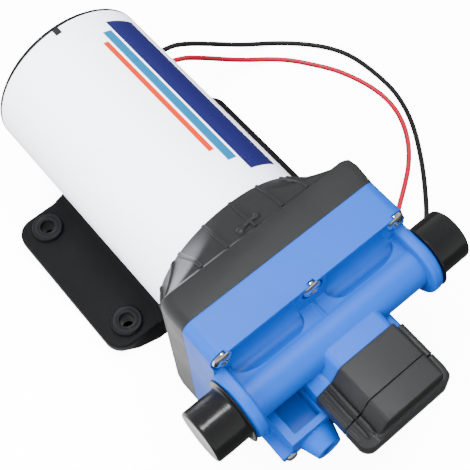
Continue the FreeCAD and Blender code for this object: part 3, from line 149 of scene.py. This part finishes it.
def finish_material(mat, colour, rough, bump=0.03, edge=0.35, wear=0.3, wear_tint=1.5, metal=0.0,
                    specular=0.5, blotch=0.05, scuff=0.0):
    """Blotched colour, uneven roughness, fine grain, rounded edges, paler edges that are partly wear and
    partly painted highlight, and faint scuffs.
    """
    tree = mat.node_tree
    shader = tree.nodes["Principled BSDF"]
    coords = object_coords(tree)
    broad = noise(tree, coords, 28.0)
    fine = noise(tree, coords, GRAIN, 4.0, 0.6)
    if isinstance(colour, (tuple, list)):
        dark = tuple(max(c * (1 - blotch), 0) for c in colour)
        light = tuple(min(c * (1 + blotch), 1) for c in colour)
        base = mixed(tree, ranged(tree, broad, 0.3, 0.7, 0.0, 1.0), dark, light)
        worn_and_lit_edges = tuple(min(c * wear_tint + 0.006, 1) for c in colour)
    else:
        base, worn_and_lit_edges = colour, (0.9, 0.9, 0.9)
    bevel = tree.nodes.new("ShaderNodeBevel")
    bevel.samples = 6
    bevel.inputs["Radius"].default_value = edge * MM
    geometry = tree.nodes.new("ShaderNodeNewGeometry")
    dot = tree.nodes.new("ShaderNodeVectorMath")
    dot.operation = "DOT_PRODUCT"
    link(tree, bevel.outputs["Normal"], dot.inputs[0])
    link(tree, geometry.outputs["Normal"], dot.inputs[1])
    # Paler colour on every edge: partly wear, partly painted highlight standing in for edges that catch light
    wear_and_highlight_edges = ranged(tree, dot.outputs["Value"], 0.985, 0.75, 0.0, wear)
    patchy = ranged(tree, noise(tree, coords, 160.0), 0.35, 0.65, 0.2, 1.0)
    wear_scuffs_and_highlight = maths(tree, "MULTIPLY", wear_and_highlight_edges, patchy)
    if scuff:
        streaks = ranged(tree, noise(tree, coords, 95.0, 6.0, 0.75), 0.62, 0.74, 0.0, scuff)
        wear_scuffs_and_highlight = maths(tree, "MAXIMUM", wear_scuffs_and_highlight, streaks)
    link(tree, mixed(tree, wear_scuffs_and_highlight, base, worn_and_lit_edges), shader.inputs["Base Color"])
    uneven = ranged(tree, noise(tree, coords, 60.0), 0.3, 0.7, rough - ROUGH_SPREAD, rough + ROUGH_SPREAD)
    link(tree, uneven, shader.inputs["Roughness"])
    relief = tree.nodes.new("ShaderNodeBump")
    relief.inputs["Strength"].default_value = bump
    relief.inputs["Distance"].default_value = 0.0004
    link(tree, fine, relief.inputs["Height"])
    link(tree, bevel.outputs["Normal"], relief.inputs["Normal"])
    link(tree, relief.outputs["Normal"], shader.inputs["Normal"])
    shader.inputs["Metallic"].default_value = metal
    shader.inputs["Specular IOR Level"].default_value = specular
    return mat


def material(name, colour, rough, **options):
    mat = bpy.data.materials.new(name)
    mat.use_nodes = True
    return finish_material(mat, colour, rough, **options)


# The paler edges on these materials are partly wear and partly painted highlight
black_bell = material("black_bell", (0.004, 0.004, 0.0045), 0.4, specular=0.25)
black_plastic = material("black_plastic", (0.0068, 0.0071, 0.0074), 0.4, edge=0.8, wear=0.5,
                         wear_tint=2.2, bump=0.05, specular=0.42, scuff=0.25, blotch=0.12)
base_plastic = material("base_plastic", (0.0022, 0.0023, 0.0025), 0.5, edge=0.8, wear=0.5,
                        wear_tint=2.5, bump=0.06, specular=0.16)
blue_plastic = material("blue_plastic", (0.0002, 0.042, 0.262), 0.38, edge=0.9, wear=0.22,
                        wear_tint=1.25, bump=0.03, specular=0.16)
vinyl = material("vinyl", (0.0022, 0.0023, 0.0025), 0.24, edge=0.3, wear=0.2, bump=0.05, specular=0.5)
rubber = material("rubber", (0.0024, 0.0026, 0.0028), 0.42, edge=0.5, wear=0.6, wear_tint=2.0,
                  bump=0.08, specular=0.25)
chrome = material("chrome", (0.72, 0.71, 0.69), 0.14, metal=1.0, edge=0.15, wear=0.2, wear_tint=1.1)
steel = material("steel", (0.5, 0.5, 0.5), 0.32, metal=1.0, edge=0.2)
brass = material("brass", (0.7, 0.5, 0.2), 0.3, metal=1.0, edge=0.2)
copper = material("copper", (0.7, 0.3, 0.14), 0.3, metal=1.0, edge=0.2)
red_lead = material("red_lead", (0.22, 0.0006, 0.011), 0.36, edge=0.1, wear=0.1, bump=0.02, specular=0.3)
black_lead = material("black_lead", (0.0035, 0.0035, 0.0037), 0.36, edge=0.1, wear=0.1, bump=0.02,
                      specular=0.35)
nylon = material("nylon", (0.45, 0.44, 0.4), 0.45, edge=0.3)
dark_iron = material("dark_iron", (0.03, 0.03, 0.031), 0.5, edge=0.2)


def striped_paint():
    """White gloss paint with three straight printed bands along the upper right of the can."""
    mat = bpy.data.materials.new("striped_paint")
    mat.use_nodes = True
    tree = mat.node_tree
    split = tree.nodes.new("ShaderNodeSeparateXYZ")
    link(tree, object_coords(tree), split.inputs[0])
    height = maths(tree, "SUBTRACT", split.outputs["Z"], AXIS_Z * MM)
    angle = maths(tree, "ARCTAN2", split.outputs["X"], height)
    tint = ranged(tree, noise(tree, object_coords(tree), 35.0), 0.3, 0.7, 0.0, 1.0)
    base = mixed(tree, tint, tuple(c * 0.98 for c in WHITE_PAINT), WHITE_PAINT)
    for shade, low, high, front, rear in BANDS:
        along = inside(tree, split.outputs["Y"], front * MM, rear * MM, 0.0002)
        mask = maths(tree, "MULTIPLY", inside(tree, angle, low, high, 0.004), along)
        base = mixed(tree, mask, base, shade)
    return finish_material(mat, base, 0.3, edge=0.3, wear=0.0, bump=0.012, specular=0.1)


node_material = {
    "motor_can": striped_paint(), "rear_end_bell": black_bell, "cam_housing": black_plastic,
    "base_plate": base_plastic, "foot_grommets": rubber, "upper_housing": blue_plastic,
    "head_screws": chrome, "block_screw": chrome, "port_cap_left": vinyl, "port_cap_right": vinyl,
    "switch_body": black_plastic, "switch_cover": black_plastic, "switch_grommet": rubber,
    "motor_grommet": rubber, "lead_black": black_lead, "lead_red": red_lead,
    "bypass_plug": black_bell, "adjusting_screw": brass, "terminals": brass,
    "armature_winding": copper, "commutator": copper, "rear_bush": copper,
    "wobble_plate": nylon, "pistons": nylon, "valve_plate": nylon, "bypass_poppet": nylon,
    "switch_plunger": nylon, "microswitch_button": nylon, "microswitch": black_plastic,
    "diaphragm": rubber, "intake_valves": rubber, "outlet_valve": rubber, "switch_diaphragm": rubber,
    "motor_magnets": dark_iron, "armature_core": dark_iron, "carbon_brushes": dark_iron,
    "brush_plate": dark_iron,
}


def smooth_cad(obj):
    """Smooth shading over the solids' curved faces, with their real edges kept sharp."""
    weld = obj.modifiers.new("weld", "WELD")
    weld.merge_threshold = 1e-6
    split = obj.modifiers.new("split", "EDGE_SPLIT")
    split.split_angle = math.radians(28)
    for polygon in obj.data.polygons:
        polygon.use_smooth = True


for name, obj in nodes.items():
    obj.data.materials.clear()
    obj.data.materials.append(node_material.get(name, steel))
    smooth_cad(obj)


# Mesh helpers for the finer pieces

def arc(radius_centre, along_centre, size, start, end, steps=6):
    """Rounded part of a turned outline: points (radius, along) on a quarter circle or less."""
    angles = [math.radians(start + (end - start) * i / steps) for i in range(steps + 1)]
    return [(radius_centre + size * math.cos(a), along_centre + size * math.sin(a)) for a in angles]


def turned(axis, centre, radius, angle, along):
    """Point at a radius and angle about an axis, at a place along it."""
    u, v = radius * math.cos(angle), radius * math.sin(angle)
    if axis == "X":
        return Vector((along, centre[0] + u, centre[1] + v)) * MM
    if axis == "Y":
        return Vector((centre[0] + u, along, centre[1] + v)) * MM
    return Vector((centre[0] + u, centre[1] + v, along)) * MM


def lathe(bm, profile, axis, centre, segments=72, closed=False):
    """Turn an outline of (radius, along) points about an axis; a closed one makes a ring."""
    rings = []
    for radius, along in profile:
        if radius == 0:
            rings.append([bm.verts.new(turned(axis, centre, 0, 0, along))])
        else:
            rings.append([bm.verts.new(turned(axis, centre, radius, 2 * math.pi * i / segments, along))
                          for i in range(segments)])
    pairs = list(zip(rings, rings[1:]))
    if closed:
        pairs.append((rings[-1], rings[0]))
    for first, second in pairs:
        for i in range(segments):
            j = (i + 1) % segments
            corners = dict.fromkeys((first[i % len(first)], first[j % len(first)], second[j % len(second)],
                                     second[i % len(second)]))
            if len(corners) > 2:
                bm.faces.new(list(corners))


def box(bm, low, high, turn=0.0, pivot=(0, 0)):
    """Box between two corners, turned about an axis along Y through a pivot (x, z)."""
    made = bmesh.ops.create_cube(bm, size=1)["verts"]
    size = [high[i] - low[i] for i in range(3)]
    middle = [(high[i] + low[i]) / 2 for i in range(3)]
    spin = Matrix.Rotation(math.radians(turn), 4, "Y")
    shift = Vector((pivot[0], 0, pivot[1]))
    for vert in made:
        place = Vector([vert.co[i] * size[i] + middle[i] for i in range(3)])
        vert.co = (spin @ (place - shift) + shift) * MM


def bar(bm, path, width, height, seat, sink=0.3, steps=8):
    """Half-round bead that lies on a level seat along a path of (x, y) points."""
    rows = []
    for i, (x, y) in enumerate(path):
        before, after = path[max(i - 1, 0)], path[min(i + 1, len(path) - 1)]
        along = (Vector(after) - Vector(before)).normalized()
        side = Vector((along.y, -along.x))
        start = Vector((x - side.x * width / 2, y - side.y * width / 2, seat - sink))
        ring = [bm.verts.new(start * MM)]
        for k in range(steps + 1):
            angle = math.pi * (1 - k / steps)
            u, rise = width / 2 * math.cos(angle), height * math.sin(angle) ** 0.8
            ring.append(bm.verts.new(Vector((x + side.x * u, y + side.y * u, seat + rise)) * MM))
        end = Vector((x + side.x * width / 2, y + side.y * width / 2, seat - sink))
        ring.append(bm.verts.new(end * MM))
        rows.append(ring)
    for first, second in zip(rows, rows[1:]):
        for k in range(len(first)):
            n = (k + 1) % len(first)
            bm.faces.new((first[k], first[n], second[n], second[k]))
    bm.faces.new(rows[0])
    bm.faces.new(list(reversed(rows[-1])))


def corner(x, y, size, start, end, steps=6):
    """Points of a rounded corner in plan."""
    angles = [math.radians(start + (end - start) * i / steps) for i in range(steps + 1)]
    return [(x + size * math.cos(a), y + size * math.sin(a)) for a in angles]


def as_object(name, bm, mat):
    """Object of a finished mesh, smooth between its sharp edges."""
    bmesh.ops.remove_doubles(bm, verts=bm.verts, dist=1e-7)
    bmesh.ops.recalc_face_normals(bm, faces=bm.faces)
    mesh = bpy.data.meshes.new(name)
    bm.to_mesh(mesh)
    bm.free()
    for polygon in mesh.polygons:
        polygon.use_smooth = True
    mesh.set_sharp_from_angle(angle=math.radians(38))
    mesh.materials.append(mat)
    obj = bpy.data.objects.new(name, mesh)
    bpy.context.scene.collection.objects.link(obj)
    return obj


def piece(name, bm, mat, body="housing", replaced=()):
    """Visible piece that rides on a body and may stand in for CAD nodes."""
    obj = as_object(name, bm, mat)
    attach(obj, body)
    if replaced:
        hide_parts(*replaced)
    return obj


def cut(obj, cutter_bm):
    """Cut a shape out of an object for good."""
    cutter = as_object(obj.name + "_cutter", cutter_bm, obj.data.materials[0])
    change = obj.modifiers.new("cut", "BOOLEAN")
    change.operation = "DIFFERENCE"
    change.solver = "EXACT"
    change.use_self = True
    change.object = cutter
    graph = bpy.context.evaluated_depsgraph_get()
    mesh = bpy.data.meshes.new_from_object(obj.evaluated_get(graph))
    obj.modifiers.remove(change)
    obj.data = mesh
    bpy.data.objects.remove(cutter)
    mesh.set_sharp_from_angle(angle=math.radians(38))


# Screws

def pan_head(bm, radius, height, seat, x, z, shank, length):
    """Screw along Y with a crowned pan head on its seat."""
    crown = [(radius * math.cos(a), seat - height * (0.34 + 0.66 * math.sin(a)))
             for a in (math.pi / 2 * i / 8 for i in range(8))]
    profile = [(0, seat + length), (shank * 0.7, seat + length), (shank, seat + length - 1),
               (shank, seat - 0.1), (radius - 0.25, seat), (radius, seat - 0.25), *crown, (0, seat - height)]
    lathe(bm, profile, "Y", (x, z), 48)


def cross_recess(bm, reach, width, depth, tip, x, z, turn):
    """Cutter for a cross recess: two crossed slots and a tapered middle."""
    for quarter in (0, 90):
        box(bm, (x - reach, tip - 1, z - width / 2), (x + reach, tip + depth * 0.62, z + width / 2),
            turn + quarter, (x, z))
    lathe(bm, [(0, tip - 1), (reach * 0.52, tip - 1), (reach * 0.42, tip + depth * 0.5), (0, tip + depth)],
          "Y", (x, z), 12)


def screw_set(name, node, places, seat, head, shank, cross):
    """Chrome screws in place of a CAD node; head, shank and cross give their sizes."""
    screws, crosses = bmesh.new(), bmesh.new()
    radius, height = head
    for x, z, turn in places:
        pan_head(screws, radius, height, seat, x, z, *shank)
        cross_recess(crosses, *cross, seat - height, x, z, turn)
    cut(piece(name, screws, chrome, replaced=(node,)), crosses)


screw_set("head_screw_set", "head_screws", HEAD_SCREWS, SCREW_SEAT, (4.6, 2.8), (2.4, 25.8), (2.3, 0.95, 2.0))
screw_set("front_block_screw", "block_screw", (BLOCK_SCREW,), BLOCK_SEAT, (2.7, 1.85), (1.5, 11.8),
          (1.5, 0.65, 1.3))


# Feet: rubber grommets with rounded edges, a raised collar and a flared hole

feet = bmesh.new()
for centre in FEET:
    top, painted_shadow = PLATE_TOP + 2.8, 3.2
    profile = [(3.2, 0.4), (3.6, 0.0), *arc(6.9, 0.7, 0.7, -90, 0), *arc(7.1, painted_shadow - 0.45, 0.4, 0, 90),
               (5.0, painted_shadow - 0.02), (5.0, PLATE_TOP + 0.02), *arc(7.1, PLATE_TOP + 0.5, 0.45, -90, 0),
               *arc(6.5, top - 1.3, 1.1, 0, 90), (5.2, top - 0.22), (4.95, top - 0.42), (4.7, top - 0.22),
               *arc(3.75, top - 0.45, 0.3, 90, 160, 4), (3.2, top - 1.3)]
    lathe(feet, profile, "Z", centre, 64, closed=True)
piece("grommet_set", feet, rubber, replaced=("foot_grommets",))


# Port caps: soft vinyl with a thin flange, a slightly uneven wall and a shallow dished end

def soften(bm, amount, scale, keep):
    """Small uneven pull on a soft piece, never outwards of its own form."""
    for vert in bm.verts:
        radial = Vector((0, vert.co.y - TUBE_Y * MM, vert.co.z - TUBE_Z * MM))
        if radial.length < 1e-6:
            continue
        pull = max(roughness_noise.noise(vert.co / MM * scale), 0)
        if keep(vert.co):
            vert.co -= radial.normalized() * pull * amount * MM


def port_cap(name, side, node, body, sunk):
    """Cap on the left (-1) or right (1) port; the lower part of its end is pressed in a little."""
    bm = bmesh.new()
    wall, inner = CAP_RADIUS, CAP_INNER
    steps = [CAP_FACE + 2.2 + (CAP_END - 1.2 - CAP_FACE - 2.2) * i / 14 for i in range(15)]
    outline = [(inner, CAP_FACE), *arc(CAP_FLANGE, CAP_FACE + 0.42, 0.42, -90, 90), (12.6, CAP_FACE + 1.05),
               *arc(wall + 0.9, CAP_FACE + 2.05, 0.9, -90, -180, 5), *[(wall, a) for a in steps],
               *arc(wall - 1.15, CAP_END - 1.15, 1.15, 0, 90), (wall - 2.6, CAP_END - 0.08),
               (6.5, CAP_END - 0.25), (3.0, CAP_END - 0.32), (0, CAP_END - 0.34)]
    back = [(0, CAP_END - 1.2), (inner - 0.6, CAP_END - 1.2), (inner, CAP_END - 1.8)]
    lathe(bm, [(r, side * a) for r, a in outline + back], "X", (TUBE_Y, TUBE_Z), 96, closed=True)
    soften(bm, 0.35, 0.11, lambda co: abs(co.x) > (CAP_FACE + 2.5) * MM)
    for vert in bm.verts:
        reach = abs(vert.co.x) / MM
        low = (TUBE_Z + 1.0) - vert.co.z / MM
        if sunk and reach > CAP_FACE + 8 and low > 0:
            share = min((reach - CAP_FACE - 8) / 8, 1) ** 2 * min(low / 9, 1)
            vert.co.x -= side * sunk * share * MM
    piece(name, bm, vinyl, body, (node,))


port_cap("left_cap_form", -1, "port_cap_left", "left_cap", 0.35)
port_cap("right_cap_form", 1, "port_cap_right", "right_cap", 0.0)


# Switch: half-round bead round the rim, ribs on the left slope, and a fine step round the raised part

def switch_bead(name, path):
    bm = bmesh.new()
    bar(bm, path, BEAD_WIDTH, BEAD_HEIGHT, RIM_TOP, 0.35)
    piece(name, bm, black_plastic)


def switch_ribs(name, rear, front, ending):
    """Ribs along Y on the left slope; the ending lists (share of the radius, y) before the front."""
    bm = bmesh.new()
    for x, z, radius in RIBS:
        profile = [(0, rear), *arc(radius - 0.3, rear - 0.3, 0.3, 90, 0, 3),
                   *[(radius * share, y) for share, y in ending], (0, front)]
        lathe(bm, profile, "Y", (x, z), 24)
    piece(name, bm, black_plastic)


right_x, front_y = SWITCH_RIGHT - BEAD_INSET, SWITCH_FRONT + BEAD_INSET
body_end, cover_start = SWITCH_SEAM + 0.35, SWITCH_SEAM - 0.2
switch_bead("cover_bead", [(right_x, cover_start), (right_x, -153),
                           *corner(right_x - BEAD_CORNER, front_y + BEAD_CORNER, BEAD_CORNER, 0, -90),
                           *[(x, front_y) for x in (12, 4, -4, -9)],
                           *corner(-12.2, front_y + BEAD_CORNER, BEAD_CORNER, -90, -120, 3)])
switch_bead("body_bead", [(right_x, -132.0), (right_x, -140), (right_x, body_end)])

RIB_FRONT, RIB_TAPER = -158.0, 5.0
tapered = [(math.sqrt(1 - t * t), RIB_FRONT + RIB_TAPER - RIB_TAPER * t)
           for t in (0.0, 0.3, 0.55, 0.75, 0.9, 0.98)]
switch_ribs("body_ribs", SWITCH_BACK, body_end, [(1.0, body_end)])
switch_ribs("cover_ribs", cover_start, RIB_FRONT, tapered)

step_x, step_y = 20.5, -160.3
body_step = [(step_x, -132.2), (step_x, -140), (step_x, SWITCH_SEAM + 0.3)]
cover_step = [(step_x, cover_start), (step_x, -154), *corner(step_x - 2.9, step_y + 2.9, 2.9, 0, -90),
              (10, step_y), (0, step_y), (-9, step_y)]
step = bmesh.new()
for path in (body_step, cover_step):
    bar(step, path, STEP_WIDTH, STEP_HEIGHT, RIM_TOP, 0.3)
piece("hump_step", step, black_plastic)


# Cam housing: two moulded nubs with a low ridge between them behind the flange

nubs = bmesh.new()
for x, y, z, radius, rise in NUBS:
    crown = [(radius * math.sin(a), z + rise * math.cos(a))
             for a in (math.pi / 2 * i / 6 for i in range(1, 7))]
    lathe(nubs, [(0, z + rise), *crown, (radius, z - 2.5), (0, z - 2.5)], "Z", (x, y), 32)
bar(nubs, [(-5.5, -67.8), (-2, -67.0), (1, -66.7), (3.7, -66.5)], 1.5, 0.6, 94.4, 2.0)
piece("dome_nubs", nubs, black_plastic)


# Rear bell: its locating tab in the can's edge

tab = bmesh.new()
rows = []
for radius in TAB_RADII:
    for y in TAB_ENDS:
        rows.append([tab.verts.new(Vector((radius * math.sin(a), y, AXIS_Z + radius * math.cos(a))) * MM)
                     for a in (TAB_START + TAB_STEP * i for i in range(8))])
low_front, low_rear, high_front, high_rear = rows
for first, second in ((low_front, low_rear), (low_rear, high_rear), (high_rear, high_front),
                      (high_front, low_front)):
    for i in range(7):
        tab.faces.new((first[i], first[i + 1], second[i + 1], second[i]))
for i in (0, 7):
    tab.faces.new((low_front[i], low_rear[i], high_rear[i], high_front[i]))
piece("bell_tab", tab, black_plastic)


# Leads

# Points of each lead in millimetres, from the motor grommet to the switch grommet
BLACK_ROUTE = ((43.606, 60.8, 39.5), (52, 61, 38.5), (62, 61.5, 31.5), (75, 61.2, 20.5),
               (87, 60.1, 10.5), (98, 57.2, 3.6), (110.5, 50.2, 1.35), (122.6, 39, 1.35),
               (132, 27.2, 1.35), (137.6, 14.5, 1.35), (139.2, -2, 1.35), (138.9, -16, 1.35),
               (136, -27.5, 1.35), (131.4, -38.5, 1.35), (124.4, -50, 1.35), (115.6, -62.3, 1.35),
               (107.6, -72, 1.35), (98.2, -82.6, 1.35), (87.2, -91.8, 1.35), (73.4, -98.8, 1.35),
               (57, -102.6, 1.35), (42.6, -107.8, 1.35), (30.6, -117, 1.9), (19.6, -128.2, 4.2),
               (12, -136.5, 6.5), (5.8, -142.2, 12.5), (3.3, -144, 20.5), (3.3, -143.9, 27))
RED_ROUTE = ((43.606, 53.2, 39.5), (52, 51.9, 37.6), (61, 52.3, 29.6), (72, 52.2, 19.2), (83, 51, 9.6),
             (93, 48.2, 3.4), (102.2, 42.9, 1.35), (110.4, 34.8, 1.35), (117.6, 24.6, 1.35),
             (124.2, 14.2, 1.35), (128.6, 3.2, 1.35), (131.4, -7.8, 1.35), (132.2, -18.2, 1.35),
             (130.6, -28, 1.35), (126.8, -37.4, 1.35), (120.6, -46.8, 1.35), (112, -55.6, 1.35),
             (101.8, -63, 1.35), (90.6, -70.2, 1.35), (78, -79.6, 1.35), (64.6, -87.4, 1.35),
             (50.6, -93.8, 1.35), (37, -102, 1.35), (26, -112.2, 1.9), (15.8, -123.2, 4.2),
             (8.6, -133, 6.8), (2.2, -139.9, 12.5), (-0.3, -142.2, 20.5), (-0.3, -142.1, 27))


def lead(name, node, route, mat):
    """Round wire along a route, in place of its CAD node."""
    curve = bpy.data.curves.new(name, "CURVE")
    curve.dimensions = "3D"
    curve.bevel_depth = LEAD_RADIUS * MM
    curve.bevel_resolution = 5
    curve.resolution_u = 12
    curve.use_fill_caps = True
    spline = curve.splines.new("NURBS")
    spline.points.add(len(route) - 1)
    for point, place in zip(spline.points, route):
        point.co = (*(v * MM for v in place), 1)
    spline.order_u = 3
    spline.use_endpoint_u = True
    obj = bpy.data.objects.new(name, curve)
    bpy.context.scene.collection.objects.link(obj)
    curve.materials.append(mat)
    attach(obj, "housing")
    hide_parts(node)


lead("lead_black_wire", "lead_black", BLACK_ROUTE, black_lead)
lead("lead_red_wire", "lead_red", RED_ROUTE, red_lead)


# Floor, light and camera

def area(name, place, aim, size, power, mirrored=False):
    """Round soft lamp; only a mirrored one shows in glossy faces."""
    data = bpy.data.lights.new(name, "AREA")
    data.shape = "DISK"
    data.size = size
    data.energy = power
    lamp = bpy.data.objects.new(name, data)
    bpy.context.scene.collection.objects.link(lamp)
    lamp.location = place
    lamp.rotation_mode = "QUATERNION"
    lamp.rotation_quaternion = (Vector(aim) - Vector(place)).to_track_quat("-Z", "Y")
    lamp.visible_glossy = mirrored


def floor():
    """Pale floor with a painted shadow under the base plate, that glossy faces on the left mirror more than
    the others.
    """
    mesh = bpy.data.meshes.new("floor")
    mesh.from_pydata([(-6, -6, 0), (6, -6, 0), (6, 6, 0), (-6, 6, 0)], [], [(0, 1, 2, 3)])
    obj = bpy.data.objects.new("floor", mesh)
    bpy.context.scene.collection.objects.link(obj)
    mat = bpy.data.materials.new("floor")
    mat.use_nodes = True
    tree = mat.node_tree
    shader = tree.nodes["Principled BSDF"]
    shader.inputs["Roughness"].default_value = 1.0
    shader.inputs["Specular IOR Level"].default_value = 0.0
    shader.inputs["Emission Color"].default_value = (1, 1, 1, 1)
    split = tree.nodes.new("ShaderNodeSeparateXYZ")
    link(tree, object_coords(tree), split.inputs[0])
    # Painted shadow: under the base plate the floor is black for the camera and does not glow
    painted_shadow = maths(tree, "MULTIPLY", inside(tree, split.outputs["X"], -SHADOW_HALF_X, SHADOW_HALF_X, 0.0005),
                  inside(tree, split.outputs["Y"], -SHADOW_HALF_Y, SHADOW_HALF_Y, 0.0005))
    bare = maths(tree, "SUBTRACT", 1.0, painted_shadow)
    seen = maths(tree, "MULTIPLY", bare, FLOOR_GLOW)
    left = maths(tree, "MULTIPLY", ranged(tree, split.outputs["X"], *LEFT_REGION_X, 1.0, 0.0),
                 ranged(tree, split.outputs["Y"], *LEFT_REGION_Y, 0.0, 1.0))
    mirrored = ranged(tree, left, 0.0, 1.0, FLOOR_MIRRORED, FLOOR_MIRRORED_LEFT)
    path = tree.nodes.new("ShaderNodeLightPath")
    pale = maths(tree, "MULTIPLY", path.outputs["Is Camera Ray"], bare)
    link(tree, mixed(tree, pale, (0, 0, 0), (FLOOR_SHADE,) * 3), shader.inputs["Base Color"])
    own = maths(tree, "MULTIPLY", path.outputs["Is Camera Ray"], seen)
    unseen = maths(tree, "SUBTRACT", 1.0, path.outputs["Is Camera Ray"])
    other = maths(tree, "MULTIPLY", unseen, mirrored)
    link(tree, maths(tree, "ADD", own, other), shader.inputs["Emission Strength"])
    obj.visible_diffuse = False
    mesh.materials.append(mat)


floor()
area("top", (0.05, 0.1, 1.1), (0, 0, 0.05), 1.1, 54)
area("window", (0.08, 0.04, 1.05), (-0.05, -0.1, 0.08), 0.16, 2.2, mirrored=True)
area("left", (-0.9, -0.1, 0.5), (0, 0, 0.05), 0.8, 38)
area("front", (-0.1, -1.0, 0.6), (0, -0.05, 0.05), 0.8, 18)


def surroundings():
    """Pale sky, brighter near the horizon than overhead."""
    world = bpy.data.worlds.new("world")
    world.use_nodes = True
    sky = world.node_tree
    split = sky.nodes.new("ShaderNodeSeparateXYZ")
    link(sky, sky.nodes.new("ShaderNodeTexCoord").outputs["Generated"], split.inputs[0])
    background = sky.nodes["Background"]
    background.inputs["Color"].default_value = (1, 1, 1, 1)
    link(sky, ranged(sky, split.outputs["Z"], 0.1, 0.9, 0.9, 0.45), background.inputs["Strength"])
    bpy.context.scene.world = world


def camera():
    """Plain perspective camera at the photograph's angle."""
    data = bpy.data.cameras.new("camera")
    data.sensor_width = 36
    data.lens = data.sensor_width * FOCAL_LENGTH / PHOTO_SIZE
    data.shift_x = 0.5 - OPTICAL_CENTRE[0] / PHOTO_SIZE
    data.shift_y = OPTICAL_CENTRE[1] / PHOTO_SIZE - 0.5
    data.clip_start, data.clip_end = 0.01, 50
    cam = bpy.data.objects.new("camera", data)
    bpy.context.scene.collection.objects.link(cam)
    turn = Vector(CAMERA_TURN)
    rows = Matrix.Rotation(turn.length, 3, turn.normalized())
    axes = Matrix((rows[0], -rows[1], -rows[2])).transposed()
    cam.matrix_world = Matrix.Translation(Vector(CAMERA_PLACE) * MM) @ axes.to_4x4()
    bpy.context.scene.camera = cam


surroundings()
camera()
